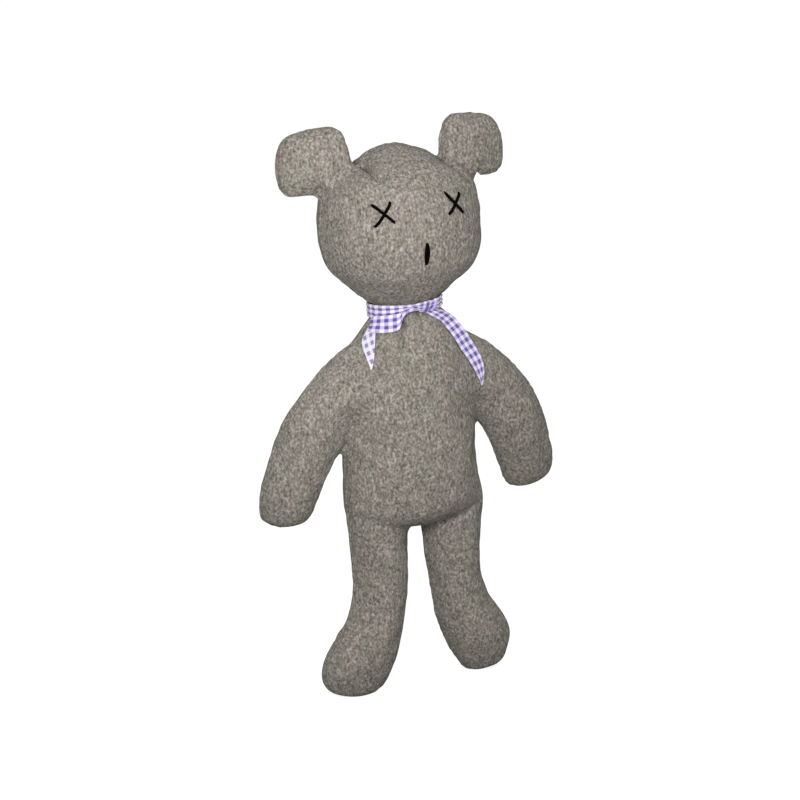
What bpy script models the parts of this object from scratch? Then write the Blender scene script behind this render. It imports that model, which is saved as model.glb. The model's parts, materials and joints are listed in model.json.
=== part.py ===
"""A stuffed tweed bear: cloth panels sewn front to back over wads of stuffing, with stitched eyes and nose
and a checked ribbon tied round its neck.

Metres, +Z up. The bear faces -Y and stands on its soles, with the origin on the floor between them. Left and
right are the bear's own, so its left side is at +X. Each segment of the body is two shells of cloth, one in front
of the seam plane and one behind it, round a closed wad of stuffing.
"""

import math

import bmesh
import bpy
import numpy as np

MM = 0.001

# Cloth, seams and clearances, in millimetres.
CLOTH = 1.2
SEAM_GAP = 0.5
STUFFING_INSET = 2.2
THREAD_RADIUS = 0.6
NOSE_THREAD_RADIUS = 1.1
THREAD_CLEARANCE = 0.4
RIBBON_THICK = 1.0
RIBBON_HALF_WIDTH = 5.0

# Points round half of a section, from one side seam to the other, and round the neck's wad.
HALF_TURN = 7
ROUND_TURN = 9
TURNED_STEPS = 20

# Hinge lines, in millimetres: (x, z) of both ends on the left side, in the seam plane. A limb's root is rounded
# about its line: its first section is narrowed by the inner share where the cut, in degrees, meets the round. The
# hip's rows are degrees round its cylinder, across and half width.
HIP_HEIGHT = 92.0
HIP_RADIUS = 15.5
HIP_ROOT = ((65.0, 20.2, 15.5), (38.0, 20.4, 17.4), (0.0, 20.7, 18.2))
SHOULDER_LINE = ((43.0, 139.0), (31.0, 205.0))
SHOULDER_RADIUS = 5.0
SHOULDER_SHARE, SHOULDER_CUT = 0.9, 60.0
EAR_LINE = ((50.0, 292.0), (27.5, 312.5))
EAR_RADIUS = 4.0
EAR_SHARE, EAR_CUT = 0.95, 50.0
INNER_SHARE = 0.86
NECK_HEIGHT = 216.0
NECK_RADIUS = 12.0
NECK_FOOT, NECK_FOOT_RADIUS = -15.5, 9.0
NECK_WAIST, NECK_WAIST_RADIUS = -12.0, 10.8
NECK_DOME = range(-40, 90, 13)

# The head stands this far back of the seam plane of the body, so that the bear is as deep before as behind.
HEAD_BACK = 0.6

# A section of a segment, in millimetres: across, up, back, lean in degrees from level, half width, half depth.
HEAD = (
    (0.0, 229.0, HEAD_BACK, 0.0, 25.0, 21.0),
    (0.0, 236.5, HEAD_BACK, 0.0, 33.5, 27.0),
    (0.0, 247.5, HEAD_BACK, 0.0, 43.5, 34.0),
    (0.0, 262.0, HEAD_BACK, 0.0, 47.5, 36.0),
    (0.0, 278.5, HEAD_BACK, 0.0, 48.0, 35.0),
    (0.0, 292.0, HEAD_BACK, 0.0, 42.0, 30.5),
    (0.0, 302.0, HEAD_BACK, 0.0, 31.5, 24.0),
    (0.0, 309.5, HEAD_BACK, 0.0, 17.5, 14.5),
    (0.0, 313.5, HEAD_BACK, 0.0, 6.0, 5.0),
)
TORSO = (
    (0.0, 108.3, 0.0, 0.0, 40.5, 27.0),
    (0.0, 122.0, 0.0, 0.0, 40.0, 28.5),
    (0.0, 139.0, 0.0, 0.0, 37.1, 29.0),
    (0.0, 157.0, 0.0, 0.0, 33.8, 28.0),
    (0.0, 180.0, 0.0, 0.0, 29.6, 26.0),
    (0.0, 198.0, 0.0, 0.0, 26.0, 21.8),
    (0.0, 206.0, 0.0, 0.0, 22.5, 18.0),
    (0.0, 214.0, 0.0, 0.0, 21.5, 17.0),
)
ARM = (
    (42.4, 170.2, 0.0, 92.6, 30.9, 9.5),
    (51.0, 164.3, 0.3, 79.2, 26.7, 12.0),
    (58.7, 155.8, 1.0, 61.0, 21.9, 13.5),
    (66.0, 143.2, 2.5, 27.0, 18.7, 14.0),
    (73.5, 123.0, 5.8, 20.0, 16.6, 13.0),
    (76.3, 112.0, 7.8, 18.0, 13.5, 11.5),
    (78.5, 105.0, 9.0, 16.5, 8.5, 8.0),
    (79.5, 101.5, 9.5, 15.0, 4.0, 4.0),
)
LEG = (
    (22.8, 80.0, 0.0, -3.0, 17.3, 16.8),
    (23.2, 71.5, 0.0, 1.0, 16.8, 16.3),
    (24.0, 55.5, 0.0, 8.0, 16.3, 15.5),
    (27.5, 40.0, 0.0, 14.0, 17.2, 15.5),
    (34.0, 26.0, 0.0, 17.0, 19.4, 16.0),
    (40.0, 14.5, 0.0, 18.0, 19.0, 15.0),
    (43.2, 5.5, 0.0, 16.0, 16.0, 12.5),
    (43.5, 0.0, 0.0, 0.0, 12.0, 9.5),
)
EAR = (
    (43.5, 306.0, 1.0, 130.0, 18.3, 7.0),
    (49.5, 309.5, 3.0, 134.0, 20.8, 8.2),
    (55.0, 313.0, 5.0, 140.0, 19.0, 8.0),
    (59.5, 316.0, 6.0, 144.0, 12.5, 6.0),
    (61.5, 317.5, 7.0, 146.0, 5.0, 3.5),
)

# The ribbon round the neck, in millimetres.
COLLAR_HALF_WIDTH, COLLAR_HALF_DEPTH = 24.0, 19.3
COLLAR_BOTTOM, COLLAR_TOP = 213.5, 223.5
FOLD_HALF_WIDTH, FOLD_HALF_DEPTH = 26.0, 21.3
FOLD_BOTTOM, FOLD_TOP = 208.5, 218.5
FOLD_RIGHT, FOLD_LEFT = -25.0, -1.0
KNOT_PLACE = (7.0, -21.9, 218.2)
KNOT_SIZE = (11.0, 4.0, 8.0)
KNOT_BEVEL = 1.2
TAIL_LEFT = (
    (14.5, -20.0, 213.5),
    (22.0, -17.8, 207.5),
    (28.0, -16.6, 199.5),
    (33.5, -16.6, 187.5),
    (37.0, -16.8, 174.0),
)
TAIL_RIGHT = ((-27.0, -13.6, 210.4), (-28.0, -14.6, 201.0), (-27.7, -16.6, 190.5))
TAIL_STEPS = 4
TAIL_POINT_LENGTH, TAIL_POINT_SHARE = 0.5, 0.22

# The face, in millimetres: the two ends (x, z) of each stitch.
EYE_ACROSS, EYE_HEIGHT, EYE_REACH = 21.5, 281.0, 5.0
NOSE_STITCH = ((-0.5, 262.5), (-0.5, 251.5))


def clear_scene():
    """Remove whatever the startup scene holds."""
    for obj in list(bpy.data.objects):
        bpy.data.objects.remove(obj, do_unlink=True)


def new_collection(name):
    collection = bpy.data.collections.new(name)
    bpy.context.scene.collection.children.link(collection)
    return collection


def make_material(name, colour, roughness):
    """A cloth finish: a Principled BSDF with one colour and no metal."""
    material = bpy.data.materials.new(name)
    material.use_nodes = True
    shader = material.node_tree.nodes["Principled BSDF"]
    shader.inputs["Base Color"].default_value = (*colour, 1.0)
    shader.inputs["Roughness"].default_value = roughness
    shader.inputs["Metallic"].default_value = 0.0
    material.diffuse_color = (*colour, 1.0)
    return material


def mirrored(sections):
    """The same sections on the right side: across and lean change sign."""
    return [(-x, z, y, -lean, wide, deep) for x, z, y, lean, wide, deep in sections]


def hinge_frame(line):
    """Middle, half length, lean in degrees and outward unit normal of a hinge line on the left side."""
    (x0, z0), (x1, z1) = line
    along = np.array([x1 - x0, z1 - z0])
    length = np.linalg.norm(along)
    outward = np.array([along[1], -along[0]]) / length
    lean = math.degrees(math.atan2(along[1], along[0]))
    return np.array([x0 + x1, z0 + z1]) / 2, length / 2, lean, outward


def rounded_root(line, radius, degrees, share):
    """Two sections that round a limb's root about its hinge line, the first of them inside the line."""
    middle, half, lean, outward = hinge_frame(line)
    cut = math.radians(degrees)
    inner = middle - outward * radius * math.sin(cut)
    return [
        (inner[0], inner[1], 0.0, lean, half * share * INNER_SHARE, radius * math.cos(cut)),
        (middle[0], middle[1], 0.0, lean, half * share, radius),
    ]


def hip_root():
    """Sections that round a leg's root about the hip line, as a cylinder across the body."""
    rows = []
    for angle, across, wide in HIP_ROOT:
        turn = math.radians(angle)
        up = HIP_HEIGHT + HIP_RADIUS * math.sin(turn)
        rows.append((across, up, 0.0, 0.0, wide, HIP_RADIUS * math.cos(turn)))
    return rows


def ring_points(sections, angles, shift=0.0):
    """Points of every section at the given angles, as an array of rings by points by (x, y, z), in metres.

    A section is an ellipse in the plane of its lean and the Y axis; an angle of 90 degrees is at its back.
    """
    rows = np.array(sections)
    lean = np.radians(rows[:, 3])
    across = rows[:, 0:1] + np.outer(rows[:, 4] * np.cos(lean), np.cos(angles))
    up = rows[:, 1:2] + np.outer(rows[:, 4] * np.sin(lean), np.cos(angles))
    back = rows[:, 2:3] + shift + np.outer(rows[:, 5], np.sin(angles))
    return np.stack([across, back, up], axis=2) * MM


def grid_faces(rings, points, closed):
    """Quads between neighbouring rings, wrapping round where the rings are closed."""
    last = points if closed else points - 1
    return [
        (r * points + p, r * points + (p + 1) % points, (r + 1) * points + (p + 1) % points, (r + 1) * points + p)
        for r in range(rings - 1)
        for p in range(last)
    ]


def mesh_object(name, corners, faces, collection, material):
    """One object made from points and faces."""
    mesh = bpy.data.meshes.new(name)
    mesh.from_pydata(corners.tolist(), [], faces)
    mesh.materials.append(material)
    obj = bpy.data.objects.new(name, mesh)
    collection.objects.link(obj)
    return obj


def face_outward(obj):
    """Turn the faces of a closed mesh to point out of it."""
    work = bmesh.new()
    work.from_mesh(obj.data)
    bmesh.ops.recalc_face_normals(work, faces=work.faces[:])
    work.to_mesh(obj.data)
    work.free()


def smooth(obj, sharp_degrees=40.0):
    obj.data.shade_smooth()
    obj.data.set_sharp_from_angle(angle=math.radians(sharp_degrees))


def solidify(obj, thickness):
    """Give an open surface its thickness, half to each side."""
    wall = obj.modifiers.new("cloth thickness", "SOLIDIFY")
    wall.thickness = thickness * MM
    wall.offset = 0.0


def loop_faces(ring, flip):
    """One flat face over a whole ring of points."""
    return [tuple(reversed(ring)) if flip else tuple(ring)]


def add_panel(name, sections, side, caps, points, collection, material):
    """The front (side -1) or back (side 1) cloth of a segment: an outer half loft, and an inner one inside it.

    caps says whether the cloth closes over the first and over the last section; otherwise it ends in a hem.
    """
    angles = np.linspace(0.0, side * math.pi, points)
    shift = side * SEAM_GAP / 2
    outer = ring_points(sections, angles, shift)
    inner = ring_points(inset(sections, CLOTH, caps), angles, shift)
    rings = len(sections)
    count = rings * points
    skin = grid_faces(rings, points, closed=False)
    faces = skin + [tuple(count + i for i in reversed(face)) for face in skin]
    for first in (0, points - 1):
        rim = [first + r * points for r in range(rings)]
        faces += [(i, j, count + j, count + i) for i, j in zip(rim, rim[1:])]
    for cap, start in zip(caps, (0, count - points)):
        ring = range(start, start + points)
        if cap:
            faces += loop_faces(ring, False) + loop_faces([count + i for i in ring], True)
            faces.append((ring[0], ring[-1], count + ring[-1], count + ring[0]))
        else:
            faces += [(i, i + 1, count + i + 1, count + i) for i in ring[:-1]]
    corners = np.concatenate([outer.reshape(-1, 3), inner.reshape(-1, 3)])
    panel = mesh_object(name, corners, faces, collection, material)
    face_outward(panel)
    smooth(panel)
    return panel


def inset(sections, depth, caps=(True, True)):
    """Sections of a loft that lies inside this one by the given depth.

    Each section moves along the inward normal of the profile of its half width, or half depth, against the
    length along the segment. An end section moves in by the whole depth under a cap, and stays at a hem.
    """
    rows = np.array(sections)
    centres = rows[:, :3]
    steps = np.linalg.norm(np.diff(centres, axis=0), axis=1)
    length = np.concatenate([[0.0], np.cumsum(steps)])
    slope_wide = np.gradient(rows[:, 4], length)
    slope_deep = np.gradient(rows[:, 5], length)
    slope = (slope_wide + slope_deep) / 2
    move = depth * slope / np.sqrt(1.0 + slope**2)
    move[0] = depth if caps[0] else 0.0
    move[-1] = -depth if caps[1] else 0.0
    moved = length + move
    for column in range(4):
        rows[:, column] = np.interp(moved, length, rows[:, column])
    rows[:, 4] -= depth / np.sqrt(1.0 + slope_wide**2)
    rows[:, 5] -= depth / np.sqrt(1.0 + slope_deep**2)
    return rows


def add_stuffing(name, sections, points, collection, material):
    """A closed wad that fills the cloth of one segment."""
    around = 2 * (points - 1)
    angles = np.linspace(0.0, 2 * math.pi, around, endpoint=False)
    rows = inset(sections, STUFFING_INSET)
    corners = ring_points(rows, angles)
    rings = len(rows)
    faces = grid_faces(rings, around, closed=True)
    faces.append(tuple(range(around - 1, -1, -1)))
    faces.append(tuple(range((rings - 1) * around, rings * around)))
    wad = mesh_object(name, corners.reshape(-1, 3), faces, collection, material)
    face_outward(wad)
    smooth(wad)
    return wad


def add_segment(name, sections, caps, points, collection, cloth, stuffing, unfilled=0):
    """The front panel, back panel and stuffing of one segment, the last few sections of which may be unfilled."""
    panels = [
        add_panel(f"{name}_front_panel", sections, -1, caps, points, collection, cloth),
        add_panel(f"{name}_back_panel", sections, 1, caps, points, collection, cloth),
    ]
    first = 1 if caps[0] else 0
    filled = sections[first : len(sections) - unfilled]
    wad = add_stuffing(f"{name}_stuffing", filled, points, collection, stuffing)
    return panels + [wad]


def add_neck(collection, stuffing):
    """The wad in the neck that the head turns and nods on: a short column with a round top."""
    profile = [(NECK_FOOT_RADIUS, NECK_FOOT), (NECK_WAIST_RADIUS, NECK_WAIST)]
    for degrees in NECK_DOME:
        turn = math.radians(degrees)
        profile.append((NECK_RADIUS * math.cos(turn), NECK_RADIUS * math.sin(turn)))
    points = [(0.0, 0.0, NECK_RADIUS)] + [(r, 0.0, z) for r, z in reversed(profile)] + [(0.0, 0.0, NECK_FOOT)]
    corners = np.array(points) * MM
    edges = [(i, i + 1) for i in range(len(points) - 1)]
    mesh = bpy.data.meshes.new("neck_stuffing")
    mesh.from_pydata(corners.tolist(), edges, [])
    mesh.materials.append(stuffing)
    neck = bpy.data.objects.new("neck_stuffing", mesh)
    neck.location = (0.0, 0.0, NECK_HEIGHT * MM)
    collection.objects.link(neck)
    turned = neck.modifiers.new("turned shape", "SCREW")
    turned.axis = "Z"
    turned.steps = TURNED_STEPS
    turned.render_steps = TURNED_STEPS
    turned.use_merge_vertices = True
    turned.merge_threshold = 0.00001
    turned.use_smooth_shade = True
    return neck


def head_front(across, up):
    """The y of the head's front surface, in millimetres, on the ellipse of the section at this height."""
    rows = np.array(HEAD)
    wide = np.interp(up, rows[:, 1], rows[:, 4])
    deep = np.interp(up, rows[:, 1], rows[:, 5])
    return HEAD_BACK - SEAM_GAP / 2 - deep * math.sqrt(max(0.0, 1.0 - (across / wide) ** 2))


def add_stitch(name, ends, radius, rise, collection, thread):
    """A stitch laid along the face: a thread between two points, its middle standing out by rise."""
    curve = bpy.data.curves.new(name, "CURVE")
    curve.dimensions = "3D"
    curve.bevel_depth = radius * MM
    curve.bevel_resolution = 1
    curve.use_fill_caps = True
    spline = curve.splines.new("POLY")
    steps = np.linspace(0.0, 1.0, 5)
    spline.points.add(len(steps) - 1)
    for point, step in zip(spline.points, steps):
        across = ends[0][0] + (ends[1][0] - ends[0][0]) * step
        up = ends[0][1] + (ends[1][1] - ends[0][1]) * step
        out = radius + THREAD_CLEARANCE + rise * math.sin(math.pi * step)
        point.co = (across * MM, (head_front(across, up) - out) * MM, up * MM, 1.0)
    curve.materials.append(thread)
    stitch = bpy.data.objects.new(name, curve)
    collection.objects.link(stitch)
    return stitch


def add_face(collection, thread):
    """Two crossed stitches for each eye and one upright stitch for the nose."""
    stitches = []
    for side, sign in (("left", 1), ("right", -1)):
        middle = sign * EYE_ACROSS
        low, high = EYE_HEIGHT - EYE_REACH, EYE_HEIGHT + EYE_REACH
        under = ((middle - EYE_REACH, high), (middle + EYE_REACH, low))
        over = ((middle + EYE_REACH, high), (middle - EYE_REACH, low))
        rise = 2 * THREAD_RADIUS + 2 * THREAD_CLEARANCE
        stitches.append(add_stitch(f"eye_{side}_under_stitch", under, THREAD_RADIUS, 0.0, collection, thread))
        stitches.append(add_stitch(f"eye_{side}_over_stitch", over, THREAD_RADIUS, rise, collection, thread))
    stitches.append(add_stitch("nose_stitch", NOSE_STITCH, NOSE_THREAD_RADIUS, 0.0, collection, thread))
    return stitches


def add_band(name, half_sizes, heights, angles, closed, collection, ribbon):
    """A stretch of ribbon on edge round the neck: an upright strip along an ellipse, made solid both ways."""
    across = half_sizes[0] * np.cos(angles)
    back = half_sizes[1] * np.sin(angles)
    rows = [np.stack([across, back, np.full_like(across, z)], axis=1) for z in heights]
    corners = np.concatenate(rows) * MM
    faces = grid_faces(2, len(angles), closed)
    band = mesh_object(name, corners, faces, collection, ribbon)
    smooth(band)
    solidify(band, RIBBON_THICK)
    return band


def add_collar(collection, ribbon):
    angles = np.linspace(0.0, 2 * math.pi, 28, endpoint=False)
    half_sizes = (COLLAR_HALF_WIDTH, COLLAR_HALF_DEPTH)
    heights = (COLLAR_BOTTOM, COLLAR_TOP)
    return add_band("ribbon_collar", half_sizes, heights, angles, True, collection, ribbon)


def add_fold(collection, ribbon):
    """The broad fold of ribbon that lies over the collar, from the knot round to the bear's right."""
    first = -math.acos(FOLD_RIGHT / FOLD_HALF_WIDTH)
    last = -math.acos(FOLD_LEFT / FOLD_HALF_WIDTH)
    angles = np.linspace(first, last, 10)
    half_sizes = (FOLD_HALF_WIDTH, FOLD_HALF_DEPTH)
    heights = (FOLD_BOTTOM, FOLD_TOP)
    return add_band("ribbon_fold", half_sizes, heights, angles, False, collection, ribbon)


def add_knot(collection, ribbon):
    """The knot: a small block with rounded edges."""
    mesh = bpy.data.meshes.new("ribbon_knot")
    work = bmesh.new()
    bmesh.ops.create_cube(work, size=1.0)
    bmesh.ops.scale(work, vec=[side * MM for side in KNOT_SIZE], verts=work.verts)
    work.to_mesh(mesh)
    work.free()
    mesh.materials.append(ribbon)
    knot = bpy.data.objects.new("ribbon_knot", mesh)
    knot.location = [value * MM for value in KNOT_PLACE]
    collection.objects.link(knot)
    rounding = knot.modifiers.new("rounded edges", "BEVEL")
    rounding.width = KNOT_BEVEL * MM
    rounding.segments = 2
    return knot


def add_tail(name, route, collection, ribbon):
    """A loose end of the ribbon: a strip along its route, full width to the last step and then cut to a point.

    Its object's origin is at the first point of the route, where it lifts from.
    """
    points = np.array(route)
    start = points[0]
    steps = TAIL_STEPS * (len(points) - 1) + 1
    places = np.linspace(0.0, len(points) - 1.0, steps)
    line = np.stack([np.interp(places, np.arange(len(points)), points[:, i]) for i in range(3)], axis=1)
    direction = line[-1] - line[0]
    across = np.array([-direction[2], 0.0, direction[0]]) / math.hypot(direction[0], direction[2])
    share = np.clip((len(points) - 1.0 - places) / TAIL_POINT_LENGTH, TAIL_POINT_SHARE, 1.0)
    half = across[None, :] * RIBBON_HALF_WIDTH * share[:, None]
    corners = np.concatenate([line - half, line + half]) - start
    faces = [(i, i + 1, steps + i + 1, steps + i) for i in range(steps - 1)]
    tail = mesh_object(name, corners * MM, faces, collection, ribbon)
    tail.location = start * MM
    smooth(tail)
    solidify(tail, RIBBON_THICK)
    return tail


def add_pivot(name, place, objects, collection):
    """An empty on a joint's axis that carries the pieces which turn about it, with the pieces left in place."""
    pivot = bpy.data.objects.new(name, None)
    pivot.location = [value * MM for value in place]
    pivot.empty_display_size = 0.01
    collection.objects.link(pivot)
    for obj in objects:
        obj.parent = pivot
        obj.location = [a - b for a, b in zip(obj.location, pivot.location)]
    return pivot


def add_limbs(collection, pivots, cloth, stuffing):
    """Both arms, legs and ears, each carried by an empty on its hinge line."""
    shoulder = rounded_root(SHOULDER_LINE, SHOULDER_RADIUS, SHOULDER_CUT, SHOULDER_SHARE)
    ear_root = rounded_root(EAR_LINE, EAR_RADIUS, EAR_CUT, EAR_SHARE)
    limbs = {
        "arm": (shoulder + list(ARM), hinge_frame(SHOULDER_LINE)[0]),
        "leg": (hip_root() + list(LEG), (LEG[0][0], HIP_HEIGHT)),
        "ear": (ear_root + list(EAR), hinge_frame(EAR_LINE)[0]),
    }
    made = {}
    for limb, (sections, (across, up)) in limbs.items():
        for side, sign in (("left", 1), ("right", -1)):
            own = sections if sign > 0 else mirrored(sections)
            name = f"{limb}_{side}"
            pieces = add_segment(name, own, (True, True), HALF_TURN, collection, cloth, stuffing)
            made[name] = add_pivot(f"{name}_pivot", (sign * across, 0.0, up), pieces, pivots)
    return made


def carry(child, parent):
    """Parent one empty to another and leave it where it is."""
    place = child.location.copy()
    child.parent = parent
    child.location = place - parent.location


def main():
    clear_scene()
    bear = new_collection("tweed_bear")
    pivots = new_collection("pivots")
    cloth = make_material("tweed", (0.24, 0.216, 0.183), 0.95)
    stuffing = make_material("stuffing", (0.82, 0.80, 0.76), 1.0)
    thread = make_material("thread", (0.01, 0.01, 0.01), 0.6)
    ribbon = make_material("gingham", (0.42, 0.36, 0.62), 0.8)

    add_segment("torso", list(TORSO), (False, False), ROUND_TURN, bear, cloth, stuffing, unfilled=2)
    head = add_segment("head", list(HEAD), (False, True), ROUND_TURN, bear, cloth, stuffing)
    face = add_face(bear, thread)
    neck = add_neck(bear, stuffing)
    limbs = add_limbs(bear, pivots, cloth, stuffing)
    add_collar(bear, ribbon)
    add_fold(bear, ribbon)
    add_knot(bear, ribbon)
    add_tail("ribbon_tail_left", TAIL_LEFT, bear, ribbon)
    add_tail("ribbon_tail_right", TAIL_RIGHT, bear, ribbon)

    turning = add_pivot("head_turn_pivot", (0.0, 0.0, NECK_HEIGHT), [neck], pivots)
    nodding = add_pivot("head_nod_pivot", (0.0, 0.0, NECK_HEIGHT), head + face, pivots)
    for side in ("left", "right"):
        carry(limbs[f"ear_{side}"], nodding)
    carry(nodding, turning)


main()
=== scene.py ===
# %% [markdown]
# # A stuffed tweed bear
#
# A hand-sewn soft toy is two layers of grey tweed, cut to one outline, sewn round the edge, turned and
# stuffed. This notebook builds its visible cloth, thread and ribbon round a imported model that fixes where
# every part is and how it moves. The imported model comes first, because each new piece takes its place
# from it.

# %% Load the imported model
import json
import math

import bmesh
import bpy
import numpy as np
from mathutils import Matrix, Vector

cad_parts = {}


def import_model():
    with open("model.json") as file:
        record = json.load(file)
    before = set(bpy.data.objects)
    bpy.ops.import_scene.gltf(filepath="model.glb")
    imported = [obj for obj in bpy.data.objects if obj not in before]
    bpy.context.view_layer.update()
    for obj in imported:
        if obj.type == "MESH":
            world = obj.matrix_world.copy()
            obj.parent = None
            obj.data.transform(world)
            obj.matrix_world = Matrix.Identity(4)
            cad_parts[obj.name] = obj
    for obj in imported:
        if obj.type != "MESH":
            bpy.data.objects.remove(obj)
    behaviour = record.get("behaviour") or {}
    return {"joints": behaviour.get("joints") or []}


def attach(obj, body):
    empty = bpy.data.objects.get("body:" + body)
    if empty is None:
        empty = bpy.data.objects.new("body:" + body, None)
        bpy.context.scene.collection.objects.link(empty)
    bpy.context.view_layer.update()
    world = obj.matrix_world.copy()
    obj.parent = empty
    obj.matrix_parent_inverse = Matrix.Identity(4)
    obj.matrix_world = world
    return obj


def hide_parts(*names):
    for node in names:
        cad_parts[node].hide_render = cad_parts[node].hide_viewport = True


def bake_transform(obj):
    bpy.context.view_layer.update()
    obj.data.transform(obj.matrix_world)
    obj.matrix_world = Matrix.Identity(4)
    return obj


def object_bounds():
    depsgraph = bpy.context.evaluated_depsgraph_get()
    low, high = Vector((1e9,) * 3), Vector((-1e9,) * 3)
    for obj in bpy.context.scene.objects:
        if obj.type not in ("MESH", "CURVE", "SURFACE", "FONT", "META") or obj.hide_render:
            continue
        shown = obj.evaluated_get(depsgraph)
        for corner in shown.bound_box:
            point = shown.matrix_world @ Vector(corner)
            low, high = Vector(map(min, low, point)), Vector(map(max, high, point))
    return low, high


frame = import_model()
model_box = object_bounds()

MM = 0.001
joints = {joint["name"]: joint for joint in frame["joints"]}
print("the model's box in mm:", [[round(v / MM, 1) for v in corner] for corner in model_box])

# %% [markdown]
# ## Camera
#
# A long lens from a little above and from the bear's right shows the toy as it would be laid out to sell.
# The camera's own axes are worked out from two angles and a small roll, which is plainer than aiming it by
# hand: its back axis points from the toy to the lens, and the roll turns the other two about it.

# %% Stand the camera
AZIMUTH, ELEVATION, ROLL = math.radians(-23.0), math.radians(14.6), math.radians(3.1)
DISTANCE, LENS = 1.3, 103.5
SLIDE_RIGHT, SLIDE_UP = -5.0 * MM, 2.3 * MM


def standing_camera(target):
    """A camera at DISTANCE from a target. Its back axis comes from the azimuth and elevation, its right axis
    is level, and both right and up then turn by the roll."""
    back = Vector((
        math.sin(AZIMUTH) * math.cos(ELEVATION),
        -math.cos(AZIMUTH) * math.cos(ELEVATION),
        math.sin(ELEVATION),
    ))
    level = Vector((0, 0, 1)).cross(back).normalized()
    upright = back.cross(level)
    right = level * math.cos(ROLL) - upright * math.sin(ROLL)
    up = level * math.sin(ROLL) + upright * math.cos(ROLL)
    place = target + back * DISTANCE + right * SLIDE_RIGHT + up * SLIDE_UP
    lens = bpy.data.cameras.new("studio camera")
    lens.lens = LENS
    camera = bpy.data.objects.new("studio camera", lens)
    bpy.context.scene.collection.objects.link(camera)
    turn = Matrix((right, up, back)).transposed()
    camera.matrix_world = Matrix.Translation(place) @ turn.to_4x4()
    return camera


low, high = model_box
middle = Vector((0.0, 0.0, (low.z + high.z) / 2 + 2.5 * MM))
bpy.context.scene.camera = standing_camera(middle)
bpy.context.scene.view_settings.view_transform = "Standard"
print("camera aims at", [round(v, 4) for v in middle])

# %% [markdown]
# ## Smooth curves and stuffed forms
#
# A stuffed limb is described as a tailor would measure it: at a few heights, how wide and how deep it is and
# how far it leans. A Catmull-Rom curve passes through all these rows, so a few measurements give a smooth
# form. Each row becomes an ellipse, and the ellipses in turn are joined into a closed skin.

# %% Curves through rows, and forms from rows
def through(rows, steps):
    """Catmull-Rom: between two rows the value is a cubic of the share t travelled, whose slope at each row
    is half the difference of the rows on either side. All columns are worked out together."""
    rows = np.asarray(rows, float)
    last = len(rows) - 1
    place = np.linspace(0.0, last, steps)
    first = np.minimum(place.astype(int), last - 1)
    t = (place - first)[:, None]
    a, b, c, d = (rows[np.clip(first + k, 0, last)] for k in (-1, 0, 1, 2))
    return b + 0.5 * t * (c - a + t * (2 * a - 5 * b + 4 * c - d + t * (3 * (b - c) + d - a)))


def form(rows, along=70, around=72):
    """Points of a stuffed form. A row holds across, up, back, lean in degrees, half width and half depth.
    Round a row the angle runs a full turn: its cosine goes along the leaning width, its sine along the
    depth."""
    rows = through(rows, along)
    angle = np.linspace(0.0, 2 * math.pi, around, endpoint=False)
    lean = np.radians(rows[:, 3])
    wide, deep = np.maximum(rows[:, 4], 0.05), np.maximum(rows[:, 5], 0.05)
    x = rows[:, 0:1] + np.outer(wide * np.cos(lean), np.cos(angle))
    y = rows[:, 2:3] + np.outer(deep, np.sin(angle))
    z = rows[:, 1:2] + np.outer(wide * np.sin(lean), np.cos(angle))
    return np.stack([x, y, z], axis=2) * MM


def grid_faces(rings, points, closed=True, first=0):
    """Quads between neighbouring rings of a grid of points. A closed grid joins its last column to its
    first."""
    columns = points if closed else points - 1
    ring, point = np.meshgrid(np.arange(rings - 1), np.arange(columns), indexing="ij")
    after = (point + 1) % points
    quads = np.stack([ring * points + point, ring * points + after,
                      (ring + 1) * points + after, (ring + 1) * points + point], axis=2)
    return (quads.reshape(-1, 4) + first).tolist()


def new_piece(name, points, faces):
    """An object at the origin whose mesh holds these points and faces."""
    mesh = bpy.data.meshes.new(name)
    mesh.from_pydata(np.asarray(points).reshape(-1, 3).tolist(), [], faces)
    piece = bpy.data.objects.new(name, mesh)
    bpy.context.scene.collection.objects.link(piece)
    return piece


def mirrored(rows):
    """The same rows on the bear's other side."""
    return [(-across, up, back, -lean, wide, deep) for across, up, back, lean, wide, deep in rows]


# %% [markdown]
# ## Measurements of the bear
#
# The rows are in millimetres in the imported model's frame, for the bear's left side. The head is a wide egg,
# the body a pear that runs straight into its limbs, and the arms sweep a little back. One more form, the
# yoke, fills the hollow between shoulder and chest, where one piece of cloth spans both.

# %% The rows
HEAD = [(1.0, 213, 0.3, 0, 19.8, 16.6), (1.0, 221, 0.4, 0, 19.8, 17.2),
        (1.0, 228.5, 0.6, 0, 23.6, 20.4), (1.0, 236.5, 0.6, 0, 32.9, 26.8),
        (1.3, 247.2, 0.6, 0, 43.2, 34.0), (0.5, 262.3, 0.6, 0, 46.8, 36.2),
        (0.2, 278.5, 0.6, 0, 47.0, 35.2), (-0.5, 293.5, 0.6, 0, 41.8, 30.2),
        (-0.5, 304.6, 0.6, 0, 24.8, 20.0), (-0.8, 312.2, 0.6, 0, 9.6, 8.6),
        (-0.5, 314.5, 0.6, 0, 0.1, 0.1)]
TORSO = [(1.0, 226, 0.2, 0, 19.0, 16.6), (2.2, 218, 0, 0, 22.0, 17.2), (1.7, 209.5, 0, 0, 28.0, 19.4),
         (0.5, 200, 0, 0, 33.6, 22.5), (-0.3, 180, 0, 0, 38.0, 26.0), (-0.9, 157.6, 0, 0, 39.6, 28.0),
         (-1.2, 135, 0, 0, 39.9, 29.0), (-0.9, 114, 0, 0, 41.0, 28.6), (-0.4, 106, 0, 0, 40.4, 26.0),
         (0.4, 100.5, 0, 0, 35.5, 19.5), (1.4, 97, 0, 0, 21.0, 9.0), (1.6, 96.2, 0, 0, 0.1, 0.1)]
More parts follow.
